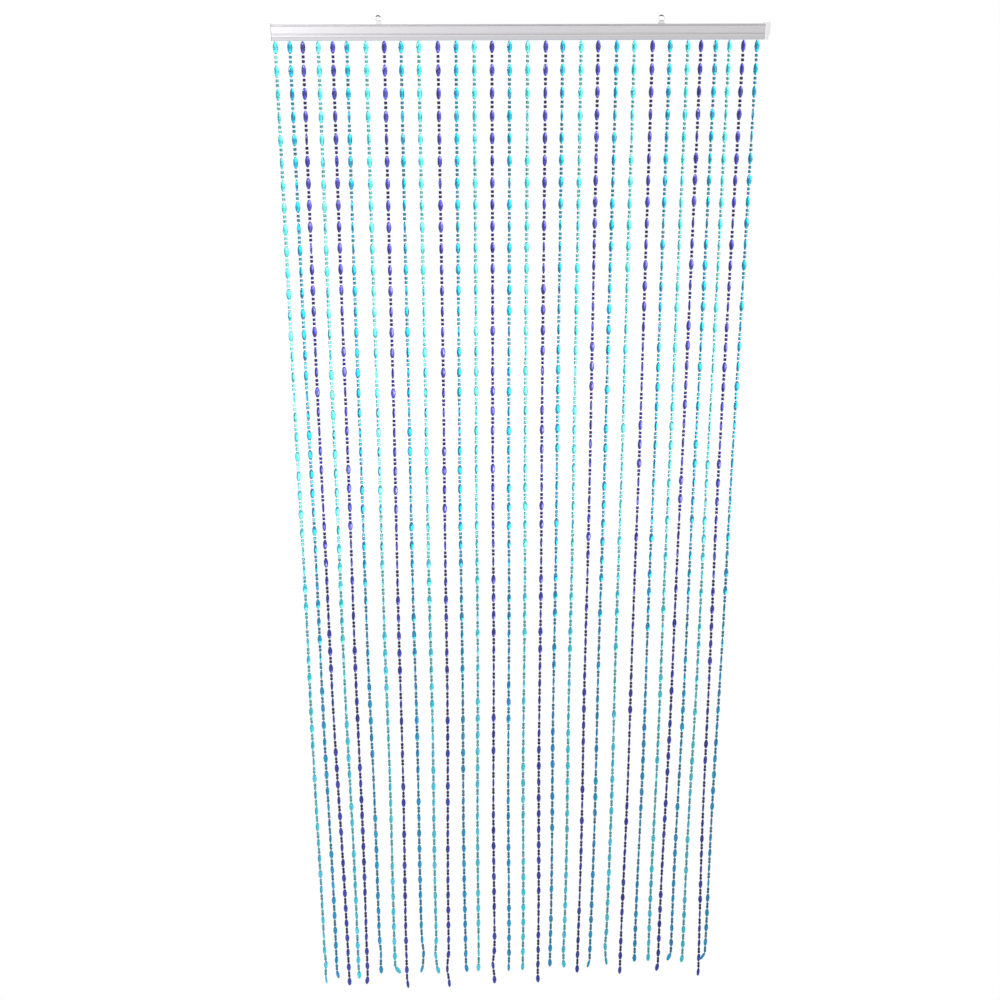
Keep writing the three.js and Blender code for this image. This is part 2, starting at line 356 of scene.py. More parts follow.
def clear_nylon(name: str, see_through: float) -> Finish:
    """Describes the nylon of the strings or strips, by the share of light that it lets through."""
    return Finish(
        name,
        light=(0.93, 0.95, 0.96),
        dark=(0.82, 0.86, 0.88),
        grain=Grain(700.0),
        roughness=(0.12, 0.3),
        plain={"IOR": 1.45, "Transmission_Weight": see_through},
    )


BRUSHED_ALUMINIUM = Finish(
    "brushed_aluminium",
    light=(0.84, 0.825, 0.845),
    dark=(0.68, 0.665, 0.69),
    grain=Grain(1800.0, stretch=0.012, contrast=1.6),
    roughness=(0.4, 0.28),
    plain={"Metallic": 1.0},
    bump_strength=0.25,
    bump_depth=0.02 * MM,
)
MOULDED_WHITE = Finish(
    "moulded_white_plastic",
    light=(0.88, 0.87, 0.87),
    dark=(0.8, 0.79, 0.79),
    grain=Grain(900.0, contrast=1.2),
    roughness=(0.36, 0.48),
    bump_strength=0.2,
    bump_depth=0.05 * MM,
)
CHROMED_WIRE = TopShadedWire(
    "chromed_wire",
    light=(0.96, 0.96, 0.97),
    dark=(0.84, 0.84, 0.86),
    grain=Grain(1400.0, stretch=0.3, contrast=1.5),
    roughness=(0.08, 0.2),
    plain={"Metallic": 1.0},
)
# Each bead's plastic has a light and a dark tone
BEAD_PLASTICS = {
    StrandColour.AQUA: {
        BeadForm.OVAL: BeadPlastic("aqua_oval_plastic", (0.14, 0.92, 0.92), (0.01, 0.5, 0.53)),
        BeadForm.SPACER: BeadPlastic("aqua_spacer_plastic", (0.14, 0.63, 0.6), (0.05, 0.37, 0.36)),
    },
    StrandColour.CYAN: {
        BeadForm.OVAL: BeadPlastic("cyan_oval_plastic", (0.006, 0.54, 0.76), (0.003, 0.2, 0.39)),
        BeadForm.SPACER: BeadPlastic("cyan_spacer_plastic", (0.02, 0.32, 0.46), (0.01, 0.16, 0.25)),
    },
    StrandColour.INDIGO: {
        BeadForm.OVAL: BeadPlastic("indigo_oval_plastic", (0.1, 0.1, 0.56), (0.012, 0.008, 0.17)),
        BeadForm.SPACER: BeadPlastic("indigo_spacer_plastic", (0.018, 0.004, 0.17), (0.003, 0.0005, 0.06)),
    },
}


# Mesh helpers

SHARP_EDGE = math.radians(25.0)
FLAT_ENOUGH = math.radians(1.0)
SAME_CORNER = 0.002 * MM


def mesh_object(name: str, mesh: Mesh, material: Material | None = None) -> Thing:
    """Puts a mesh in the scene at the origin.

    Args:
        name: the object's name.
        mesh: its mesh.
        material: its material, unless the mesh brings its own.

    Returns:
        The new object.
    """
    made = bpy.data.objects.new(name, mesh)
    bpy.context.scene.collection.objects.link(made)
    if material is not None:
        mesh.materials.append(material)
    return made


def finish_piece(piece: Thing, node: str) -> None:
    """Makes a piece ride on the curtain and hides the node that it stands for.

    Args:
        piece: the finished piece.
        node: the node that the piece replaces, alone or with others.
    """
    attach(piece, BODY)
    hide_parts(node)
    LOG.info("%s: %d faces", piece.name, len(piece.data.polygons))


def baked(thing: Thing, name: str) -> Mesh:
    """Turns an object and its modifiers into a plain mesh with this name, and removes the object."""
    bpy.context.view_layer.update()
    graph = bpy.context.evaluated_depsgraph_get()
    mesh = bpy.data.meshes.new_from_object(thing.evaluated_get(graph))
    mesh.name = name
    bpy.data.objects.remove(thing)
    return mesh


def bevelled(name: str, mesh: Mesh, width: float, segments: int) -> Mesh:
    """Rounds a mesh's sharp edges.

    Args:
        name: the new mesh's name.
        mesh: the mesh.
        width: the bevel's width in metres.
        segments: how many steps the rounding has.

    Returns:
        The bevelled mesh.
    """
    rough = mesh_object(name + "_rough", mesh)
    bevel = rough.modifiers.new("edges", "BEVEL")
    bevel.width = width
    bevel.segments = segments
    bevel.limit_method = "ANGLE"
    bevel.angle_limit = SHARP_EDGE
    return baked(rough, name)


def united(name: str, meshes: Sequence[Mesh]) -> Mesh:
    """Joins closed meshes that overlap into one closed mesh.

    Args:
        name: the new mesh's name.
        meshes: the meshes, largest first.

    Returns:
        The joined mesh.
    """
    whole = mesh_object(name + "_rough", meshes[0])
    others = [mesh_object(f"{name}_part_{index}", mesh) for index, mesh in enumerate(meshes[1:])]
    for other in others:
        union = whole.modifiers.new(other.name, "BOOLEAN")
        union.operation = "UNION"
        union.solver = "EXACT"
        union.object = other
    mesh = baked(whole, name)
    for other in others:
        bpy.data.objects.remove(other)
    return mesh


def written(work: bmesh.types.BMesh, name: str) -> Mesh:
    """Writes an edited mesh to a new plain mesh with its faces outwards, and frees it."""
    bmesh.ops.recalc_face_normals(work, faces=work.faces)
    mesh = bpy.data.meshes.new(name)
    work.to_mesh(mesh)
    work.free()
    return mesh


def join_rings(work: bmesh.types.BMesh, low: Corners, high: Corners) -> list[bmesh.types.BMFace]:
    """Joins two rings of corners with a band of four-sided faces, and gives these faces."""
    next_low = low[1:] + low[:1]
    next_high = high[1:] + high[:1]
    return [work.faces.new(corners) for corners in zip(low, next_low, next_high, high)]


def prism(name: str, outline: Sequence[Limits], along: str, start: float, end: float) -> Mesh:
    """Extrudes an outline along X or Y.

    Args:
        name: the mesh's name.
        outline: its corners, as (across, height), in order.
        along: X for an outline across the curtain's depth, or Y for one seen from the room.
        start: where the prism starts along its axis.
        end: where it ends.

    Returns:
        The closed mesh.
    """
    work = bmesh.new()
    rings = []
    for place in (start, end):
        corners = [(place, across, up) if along == "X" else (across, place, up) for across, up in outline]
        rings.append([work.verts.new(corner) for corner in corners])
    work.faces.new(rings[0])
    work.faces.new(rings[1][::-1])
    join_rings(work, *rings)
    return written(work, name)


def clean_copy(node: Thing) -> Mesh:
    """Copies a node's mesh, with its corners merged and its flat faces made whole."""
    work = bmesh.new()
    work.from_mesh(node.data)
    bmesh.ops.remove_doubles(work, verts=work.verts, dist=SAME_CORNER)
    bmesh.ops.dissolve_limit(work, angle_limit=FLAT_ENOUGH, verts=work.verts, edges=work.edges)
    return written(work, node.name + "_copy")


# The rail and its caps


@dataclass
class HangingRail:
    """The aluminium extrusion with its two moulded end caps."""

    nodes: dict[str, Thing]
    edge: float = 0.2 * MM
    edge_steps: int = 2
    cap_edge: float = 0.35 * MM
    cap_edge_steps: int = 3

    def build(self, metal: Material, plastic: Material) -> None:
        """Builds the rail in metal and both caps in plastic."""
        mesh = bevelled("rail_extrusion", clean_copy(self.nodes["rail"]), self.edge, self.edge_steps)
        finish_piece(mesh_object("rail_extrusion", mesh, metal), "rail")
        for cap in ("end_cap_left", "end_cap_right"):
            name = cap + "_moulding"
            mesh = bevelled(name, clean_copy(self.nodes[cap]), self.cap_edge, self.cap_edge_steps)
            finish_piece(mesh_object(name, mesh, plastic), cap)


# The hanging eyes


@dataclass
class HangingEye:
    """A wire ring on a tapered foot, with a tongue that is held in the rail's top groove."""

    node: str
    turn: float
    ring_radius: float = 4.75 * MM
    wire_radius: float = 1.0 * MM
    ring_steps: int = 48
    wire_sides: int = 14
    sunk: float = 0.6 * MM
    foot_base: float = 12.6 * MM
    foot_top: float = 9.6 * MM
    foot_height: float = 5.4 * MM
    foot_half: float = 2.0 * MM
    neck_half: float = 1.9 * MM
    head_half: float = 4.3 * MM
    head_height: float = 1.4 * MM
    overlap: float = 0.4 * MM
    edge: float = 0.35 * MM
    foot_edge_steps: int = 3
    head_edge_steps: int = 2

    def ring(self, centre: Vector) -> Mesh:
        """Builds the wire ring round its centre."""
        work = bmesh.new()
        rows = []
        spin = Matrix.Rotation(self.turn, 3, "Z")
        for step in range(self.ring_steps):
            around = math.tau * step / self.ring_steps
            row = []
            for side in range(self.wire_sides):
                across = math.tau * side / self.wire_sides
                reach = self.ring_radius + self.wire_radius * math.cos(across)
                depth = self.wire_radius * math.sin(across)
                place = Vector((reach * math.cos(around), depth, reach * math.sin(around)))
                row.append(work.verts.new(centre + spin @ place))
            rows.append(row)
        for step, row in enumerate(rows):
            for face in join_rings(work, row, rows[(step + 1) % self.ring_steps]):
                face.smooth = True
        return written(work, "ring")

    def block(self, name: str, middle: float, top: float, half: float, low: float, high: float) -> Mesh:
        """Builds a block that is as wide below as the foot's base.

        Args:
            name: the mesh's name.
            middle: its middle along the rail.
            top: its width above.
            half: half its depth.
            low: its lower face.
            high: its upper face.

        Returns:
            The block's mesh.
        """
        half_base = self.foot_base / 2
        half_top = top / 2
        below = [(middle - half_base, low), (middle + half_base, low)]
        above = [(middle + half_top, high), (middle - half_top, high)]
        return prism(name, below + above, "Y", -half, half)

    def build(self, metal: Material) -> None:
        """Builds the eye within its node's box, with this finish."""
        low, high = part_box(self.node)
        middle = (low.x + high.x) / 2
        centre = Vector((middle, 0.0, high.z - self.ring_radius - self.wire_radius))
        foot_top = centre.z - self.ring_radius + self.sunk
        foot_low = foot_top - self.foot_height
        head_top = low.z + self.head_height
        lap = self.overlap
        foot = self.block("foot", middle, self.foot_top, self.foot_half, foot_low, foot_top)
        neck = self.block("neck", middle, self.foot_base, self.neck_half, head_top - lap, foot_low + lap)
        head = self.block("head", middle, self.foot_base, self.head_half, low.z, head_top)
        parts = [
            bevelled("foot", foot, self.edge, self.foot_edge_steps),
            neck,
            bevelled("head", head, self.edge / 2, self.head_edge_steps),
            self.ring(centre),
        ]
        name = self.node + "_wire_and_foot"
        finish_piece(mesh_object(name, united(name, parts), metal), self.node)


# The strands


def seeded_numbers(seed: int) -> Callable[[], float]:
    """Makes a repeatable stream of numbers from 0 to 1.

    Args:
        seed: where the stream starts.

    Returns:
        A function that gives the next number.
    """
    factor = 16807
    size = 2147483647
    state = [seed]

    def draw() -> float:
        """Gives the next number."""
        state[0] = state[0] * factor % size
        return state[0] / size

    return draw


@dataclass(frozen=True)
class StrandRow:
    """How one strand differs from a straight one, in millimetres and, for its tilt, degrees.

    Attributes:
        offset: how far it hangs to the right of its even place.
        sway: how far its foot drifts to the right.
        bow: how far its middle bends to the right.
        extra: how much longer it is than its repeats make it.
        bulge: how far it kinks to the right just over its foot.
        tilt: the swing of its last bead to the right.
    """

    offset: float = 0
    sway: float = 0
    bow: float = 0
    extra: float = 0
    bulge: float = 0
    tilt: float = 0


STRAND_ROWS = [
    StrandRow(sway=2, bow=1, extra=10, bulge=2, tilt=5),
    StrandRow(sway=3, extra=5, tilt=8),
    StrandRow(offset=-2.5, sway=8, bow=-4, extra=-13),
    StrandRow(sway=3, bow=-2.5, extra=1, tilt=4),
    StrandRow(sway=-3, bow=-2.5, extra=-12, tilt=-8),
    StrandRow(sway=2, bow=-2.5, extra=-5, bulge=2, tilt=3),
    StrandRow(offset=1.5, sway=1, extra=-5, tilt=34),
    StrandRow(offset=1.5, sway=-6, bow=-1, extra=4, tilt=8),
    StrandRow(offset=-1, bow=-1.5, extra=-2, bulge=3, tilt=-12),
    StrandRow(offset=-2, sway=1, extra=-2, bulge=-3, tilt=12),
    StrandRow(sway=-7, bow=1.5, extra=7, bulge=-4, tilt=6),
    StrandRow(sway=-1, bow=-1, extra=2, tilt=6),
    StrandRow(sway=-5, extra=-4, tilt=-3),
    StrandRow(extra=3, bulge=-4, tilt=2),
    StrandRow(offset=-1, sway=1, extra=5, tilt=-3),
    StrandRow(offset=-1, extra=-1),
    StrandRow(sway=3, extra=6, tilt=3),
    StrandRow(offset=-2, extra=-2),
    StrandRow(offset=-1.5, sway=-1, bow=0.5, extra=4, bulge=-1, tilt=5),
    StrandRow(offset=-2, bow=2, extra=-16),
    StrandRow(offset=-1, sway=-6, bow=-1.5, extra=6, tilt=-12),
    StrandRow(offset=-2, bow=0.5, extra=2, bulge=-2, tilt=10),
    StrandRow(bow=2, extra=-7),
    StrandRow(offset=-1, bow=1, extra=-4),
    StrandRow(offset=-1.5, extra=-3),
    StrandRow(offset=-1, sway=-2, bow=1, extra=-10, tilt=-8),
    StrandRow(sway=-1, extra=-2, tilt=-22),
    StrandRow(offset=-1, sway=2, bow=1, extra=5, tilt=-4),
    StrandRow(offset=1.5, sway=15, bow=-3.5, extra=9),
    StrandRow(offset=0.5, sway=2, extra=1, tilt=-26),
]


@dataclass
class Layout:
    """Where the strands hang, and how their beads repeat."""

    side_gap: float = 25.1 * MM
    middle_gap: float = 32.3 * MM
    side_gaps: int = 5
    shift: float = -2.8 * MM
    first_bead: float = 11.5 * MM
    repeat: float = 39.8 * MM
    bead_length: float = 21.0 * MM
    sway_power: float = 2.2
    bulge_above: float = 45.0 * MM
    bulge_spread: float = 28.0 * MM
    waves: float = 1.2 * MM
    wave_turns: float = 5.0
    foot_depth_sway: float = 4.0 * MM
    root_rise: float = 3.5 * MM
    first_seed: int = 101
    seed_step: int = 7919
    opening: tuple[StrandColour, ...] = (StrandColour.AQUA, StrandColour.CYAN, StrandColour.INDIGO)
    repeated: tuple[StrandColour, ...] = (StrandColour.AQUA, StrandColour.INDIGO, StrandColour.CYAN)

    def positions(self) -> list[float]:
        """Gives where each strand hangs along the rail, from left to right."""
        count = len(STRAND_ROWS)
        gaps = []
        for gap in range(1, count):
            beside = gap <= self.side_gaps or gap >= count - self.side_gaps
            gaps.append(self.side_gap if beside else self.middle_gap)
        places = [self.shift - sum(gaps) / 2]
        for gap in gaps:
            places.append(places[-1] + gap)
        return places

    def colour_of(self, index: int) -> StrandColour:
        """Gives the colour of the strand with this index from the left."""
        order = self.opening if index < len(self.opening) else self.repeated
        return order[index % len(order)]


@dataclass
class Strand:
    """One hanging strand: where its string runs, from the rail's slot to its foot."""

    layout: Layout
    index: int
    ovals: int
    across: float
    depth: float
    underside: float
    row: StrandRow = field(init=False)
    phase: float = field(init=False)
    depth_sway: float = field(init=False)

    def __post_init__(self) -> None:
        """Draws the strand's own wave and sway."""
        self.row = STRAND_ROWS[self.index]
        draw = seeded_numbers(self.layout.first_seed + self.layout.seed_step * self.index)
        self.phase = draw() * math.tau
        self.depth_sway = (draw() - 0.5) * 2 * self.layout.foot_depth_sway

    @property
    def drop(self) -> float:
        """The distance from the first oval's middle to the last one's."""
        return (self.ovals - 1) * self.layout.repeat + self.row.extra * MM

    def point(self, down: float) -> Vector:
        """Gives the string's place at a distance in metres below the rail's underside."""
        whole = self.drop + self.layout.first_bead
        share = down / whole
        from_bulge = (whole - self.layout.bulge_above - down) / self.layout.bulge_spread
        wave = self.layout.waves * share * math.sin(self.phase + share * self.layout.wave_turns * math.pi)
        bent = self.row.bow * math.sin(share * math.pi) + self.row.bulge * math.exp(-(from_bulge**2))
        sway = self.row.sway * share**self.layout.sway_power
        return Vector((
            self.across + (self.row.offset + sway + bent) * MM + wave,
            self.depth + self.depth_sway * share**self.layout.sway_power,
            self.underside - down,
        ))

    def last_direction(self) -> Vector:
        """Gives the direction in which the last bead hangs."""
        tilt = math.radians(self.row.tilt)
        return Vector((math.sin(tilt), 0.0, -math.cos(tilt)))

    def bead_path(self) -> list[Vector]:
        """Gives the string's points from the first oval's middle to the last one's.

        Returns:
            Points down the strand, two for each repeat, with the last bead swung about its own upper
            end.
        """
        steps = 2 * (self.ovals - 1)
        first = self.layout.first_bead
        reach = self.layout.bead_length / 2
        top = self.point(first + self.drop - reach)
        points = [self.point(first + self.drop * step / steps) for step in range(steps)]
        return [*points, top, top + self.last_direction() * reach]

    def string_path(self) -> list[Vector]:
        """Gives the string's points from inside the backing strip to the last bead's foot."""
        root = self.point(0.0)
        root.z += self.layout.root_rise
        beads = self.bead_path()
        foot = beads[-1] + self.last_direction() * self.layout.bead_length * 0.5
        return [root, *beads, foot]


@dataclass(frozen=True)
class BeadSection:
    """One ring of a bead: its height and half sizes in millimetres, and if it is turned half a side."""

    height: float
    half_width: float
    half_depth: float
    turned: bool = False


@dataclass
class BeadPattern:
    """One bead that is repeated along the strands, with eight corners in four pairs.

    Attributes:
        name: the pattern's name.
        sections: its rings, from the lowest up.
        corner_angle: how far each corner lies from the middle of its pair, in degrees.
        half_side: how far a turned ring is turned, in degrees.
        pair_angle: how far each pair lies from the next, in degrees.
        corners: how many corners a ring has.
    """

    name: str
    sections: Sequence[BeadSection]
    corner_angle: float = 22.5
    half_side: float = 22.5
    pair_angle: float = 90.0
    corners: int = 8

    def build(self) -> Thing:
        """Builds the pattern as an object at the origin, with its string along Z."""
        work = bmesh.new()
        rings = [self.ring(work, section) for section in self.sections]
        for index, high in enumerate(rings[1:]):
            low = rings[index]
            low_turned = self.sections[index].turned
            if low_turned == self.sections[index + 1].turned:
                join_rings(work, low, high)
            else:
                self.join_facets(work, low, high, low_turned)
        work.faces.new(rings[0][::-1])
        work.faces.new(rings[-1])
        return mesh_object(self.name, written(work, self.name))

    def ring(self, work: bmesh.types.BMesh, section: BeadSection) -> Corners:
        """Adds the corners of one section."""
        corners = []
        turn = self.half_side if section.turned else 0.0
        for corner in range(self.corners):
            lean = self.corner_angle if corner % 2 else -self.corner_angle
            angle = math.radians(self.pair_angle * (corner // 2) + lean + turn)
            across = section.half_width * math.cos(angle)
            depth = section.half_depth * math.sin(angle)
            corners.append(work.verts.new(Vector((across, depth, section.height)) * MM))
        return corners

    def join_facets(self, work: bmesh.types.BMesh, low: Corners, high: Corners, low_turned: bool) -> None:
        """Joins two rings with triangles, where one of them is turned.

        Args:
            work: the mesh being made.
            low: the lower ring's corners.
            high: the upper ring's corners.
            low_turned: whether the lower one is turned, and not the upper one.
        """
        for side in range(self.corners):
            after = (side + 1) % self.corners
            if low_turned:
                work.faces.new((low[side], high[after], high[side]))
                work.faces.new((low[side], low[after], high[after]))
            else:
                work.faces.new((low[side], low[after], high[side]))
                work.faces.new((high[side], low[after], high[after]))


OVAL = BeadPattern(
    "oval_pattern",
    (
        BeadSection(-10.5, 1.3, 0.8, turned=True),
        BeadSection(-8.8, 2.75, 1.65, turned=True),
        BeadSection(-5.0, 4.2, 2.3),
        BeadSection(0.0, 4.75, 2.5, turned=True),
        BeadSection(5.0, 4.2, 2.3),
        BeadSection(8.8, 2.75, 1.65, turned=True),
        BeadSection(10.5, 1.3, 0.8, turned=True),
    ),
)

SPACER = BeadPattern(
    "spacer_pattern",
    (
        BeadSection(-2.6, 2.6, 2.6),
        BeadSection(-2.2, 3.0, 3.0),
        BeadSection(2.2, 3.0, 3.0),
        BeadSection(2.6, 2.6, 2.6),
    ),
    corner_angle=30.0,
)


class GeometryBuilder(TreeBuilder):
    """Builds a Geometry Nodes tree that turns a guide into a finished piece."""

    def __init__(self, name: str, **kinds: str) -> None:
        """Starts the tree.

        Args:
            name: the tree's name.
            **kinds: what each input holds, by its name with underscores for spaces.
        """
        super().__init__(bpy.data.node_groups.new(name, "GeometryNodeTree"))
        new_socket(self.tree, "Geometry", "OUTPUT", "Geometry")
        for label, kind in {"Geometry": "Geometry", **kinds, "Finish": "Material"}.items():
            new_socket(self.tree, label.replace("_", " "), "INPUT", kind)
        self.given = self.add("NodeGroupInput").outputs

    def curve(self) -> Socket:
        """Turns the guide's runs of edges into curves."""
        return self.add("GeometryNodeMeshToCurve", {"Mesh": self.given["Geometry"]}).outputs["Curve"]

    def named(self, name: str) -> Socket:
        """Reads a number that is stored on the geometry by name."""
        made = self.add("GeometryNodeInputNamedAttribute", {"Name": name}, data_type="FLOAT")
        return made.outputs["Attribute"]

    def random(self, low: float, high: float) -> Socket:
        """Draws a number for each element with the tree's seed."""
        made = self.add("FunctionNodeRandomValue", {"Seed": self.given["Seed"]}, data_type="FLOAT")
        for target, limit in zip(of_type(made.inputs, "VALUE"), (low, high)):
            target.default_value = limit
        return of_type(made.outputs, "VALUE")[0]

    def toned(self, geometry: Socket, name: str, domain: str) -> Socket:
        """Stores a drawn tone from 0 to 1 for each element of a domain, by name."""
        sockets = {"Geometry": geometry, "Name": name, "Value": self.random(0.0, 1.0)}
        made = self.add("GeometryNodeStoreNamedAttribute", sockets, data_type="FLOAT", domain=domain)
        return made.outputs["Geometry"]

    def real(self, geometry: Socket) -> Socket:
        """Makes instances real."""
        return self.add("GeometryNodeRealizeInstances", {"Geometry": geometry}).outputs["Geometry"]

    def finish(self, geometry: Socket) -> NodeTree:
        """Gives the geometry its finish, puts it out and gives the tree."""
        sockets = {"Geometry": geometry, "Material": self.given["Finish"]}
        dressed = self.add("GeometryNodeSetMaterial", sockets).outputs["Geometry"]
        self.add("NodeGroupOutput", {"Geometry": dressed})
        return self.tree


REPEAT_STEPS = 10.0
STEP_TOLERANCE = 0.25
DRIFT_PER_STRAND = 31.7
DRIFT_PER_REPEAT = 0.27
REPEATS_TO_LOOSEN = 4.0


def bead_turn(build: GeometryBuilder, index: Socket, count: Socket) -> Socket:
    """Works out each bead's turn about its string.

    The beads under the rail face the room. Further down they drift slowly and jitter, and those
    halfway down are turned by Middle Turn more than the rest.

    Args:
        build: the tree being made.
        index: each point's number down its strand.
        count: how many points its strand has.

    Returns:
        The turn in radians.
    """
    given = build.given
    repeats = build.math("DIVIDE", index, REPEAT_STEPS)
    below = build.math("MULTIPLY", repeats, DRIFT_PER_REPEAT)
    place = build.math("MULTIPLY_ADD", build.named("strand"), DRIFT_PER_STRAND, below)
    slow = build.add("ShaderNodeTexNoise", {"W": place, "Scale": 1.0, "Detail": 1.0}, noise_dimensions="1D")
    drift = build.math("MULTIPLY", build.math("SUBTRACT", slow.outputs["Fac"], 0.5), given["Slow Twist"])
    jitter = build.math("MULTIPLY", build.random(-1.0, 1.0), given["Jitter"])
    loosened = build.math("DIVIDE", build.math("ADD", repeats, 1.0), REPEATS_TO_LOOSEN)
    loose = build.math("MULTIPLY", build.math("ADD", drift, jitter), build.math("MINIMUM", loosened, 1.0))
    half_turns = build.math("MULTIPLY", build.math("DIVIDE", index, count), math.pi)
    return build.math("MULTIPLY_ADD", build.math("SINE", half_turns), given["Middle Turn"], loose)


def threaded_beads_tree() -> NodeTree:
    """Builds the tree that threads a bead pattern along every strand.

    Its input mesh has one run of edges for each strand, from its first oval's middle to its last
    one's. Each repeat is cut in ten steps, and the pattern is put at the two steps that lie Reach
    steps from the repeat's middle, which for the ovals is one place, shared with the next repeat.

    Returns:
        The tree.
    """
    build = GeometryBuilder(
        "threaded_beads",
        Bead="Object",
        Reach="Int",
        Slow_Twist="Float",
        Jitter="Float",
        Middle_Turn="Float",
        Seed="Int",
    )
    given = build.given
    span = build.math("MULTIPLY", build.math("SUBTRACT", build.named("ovals"), 1.0), REPEAT_STEPS)
    count = build.math("ADD", span, 1.0)
    points = build.add("GeometryNodeResampleCurve", {"Curve": build.curve(), "Count": count}, mode="COUNT")
    index = build.add("GeometryNodeSplineParameter").outputs["Index"]
    in_repeat = build.math("MODULO", index, REPEAT_STEPS)
    from_middle = build.math("ABSOLUTE", build.math("SUBTRACT", in_repeat, REPEAT_STEPS / 2))
    chosen = build.math("COMPARE", from_middle, given["Reach"], STEP_TOLERANCE)
    tangent = build.add("GeometryNodeInputTangent").outputs["Tangent"]
    upwards = build.add("ShaderNodeVectorMath", {0: tangent, "Scale": -1.0}, operation="SCALE")
    sockets = {"Vector": upwards.outputs["Vector"]}
    along = build.add("FunctionNodeAlignRotationToVector", sockets, axis="Z").outputs["Rotation"]
    sockets = {"Axis": (0.0, 0.0, 1.0), "Angle": bead_turn(build, index, count)}
    about = build.add("FunctionNodeAxisAngleToRotation", sockets).outputs["Rotation"]
    rotation = build.add("FunctionNodeRotateRotation", {0: along, 1: about}, rotation_space="LOCAL")
    sockets = {
        "Points": points.outputs["Curve"],
        "Selection": chosen,
        "Instance": build.add("GeometryNodeObjectInfo", {"Object": given["Bead"]}).outputs["Geometry"],
        "Rotation": rotation.outputs["Rotation"],
    }
    placed = build.add("GeometryNodeInstanceOnPoints", sockets).outputs["Instances"]
    real = build.real(build.toned(placed, "bead_tone", "INSTANCE"))
    return build.finish(build.toned(real, "facet_tone", "FACE"))


def string_tree() -> NodeTree:
    """Builds the tree that gives every strand its round string."""
    build = GeometryBuilder("strand_string", Radius="Float", Sides="Int")
    sockets = {"Resolution": build.given["Sides"], "Radius": build.given["Radius"]}
    profile = build.add("GeometryNodeCurvePrimitiveCircle", sockets).outputs["Curve"]
    sockets = {"Curve": build.curve(), "Profile Curve": profile, "Fill Caps": True}
    tube = build.add("GeometryNodeCurveToMesh", sockets).outputs["Mesh"]
    return build.finish(build.real(tube))


def run_tree(tree: NodeTree, guide: Mesh, name: str, **values: object) -> Thing:
    """Runs a Geometry Nodes tree on a guide and keeps the result as a plain mesh object.

    Args:
        tree: the tree.
        guide: the mesh that it starts from.
        name: the new object's name.
        **values: input values, by socket name with underscores for spaces.

    Returns:
        The new object.
    """
    rough = mesh_object(name + "_guide", guide)
    modifier = rough.modifiers.new("build", "NODES")
    modifier.node_group = tree
    sockets = {item.name: item.identifier for item in tree.interface.items_tree if item.in_out == "INPUT"}
    for key, value in values.items():
        modifier[sockets[key.replace("_", " ")]] = value
    return mesh_object(name, baked(rough, name))


@dataclass
class StrandKit:
    """What all the strands are made with."""

    beads_tree: NodeTree
    string_tree: NodeTree
    patterns: dict[BeadForm, Thing]
    plastics: dict[StrandColour, dict[BeadForm, Material]]
    string_finish: Material
    strip_finish: Material

    @classmethod
    def new(cls, grain: NodeTree) -> StrandKit:
        plastics = {}
        for colour, by_form in BEAD_PLASTICS.items():
            plastics[colour] = {form: plastic.make(grain) for form, plastic in by_form.items()}
        return cls(
            beads_tree=threaded_beads_tree(),
            string_tree=string_tree(),
            patterns={BeadForm.OVAL: OVAL.build(), BeadForm.SPACER: SPACER.build()},
            plastics=plastics,
            string_finish=clear_nylon("clear_nylon_string", see_through=0.8).make(grain),
            strip_finish=clear_nylon("milky_nylon_strip", see_through=0.2).make(grain),
        )

    def discard_patterns(self) -> None:
        """Takes the loose bead patterns out of the scene."""
        for pattern in self.patterns.values():
            bpy.data.objects.remove(pattern)


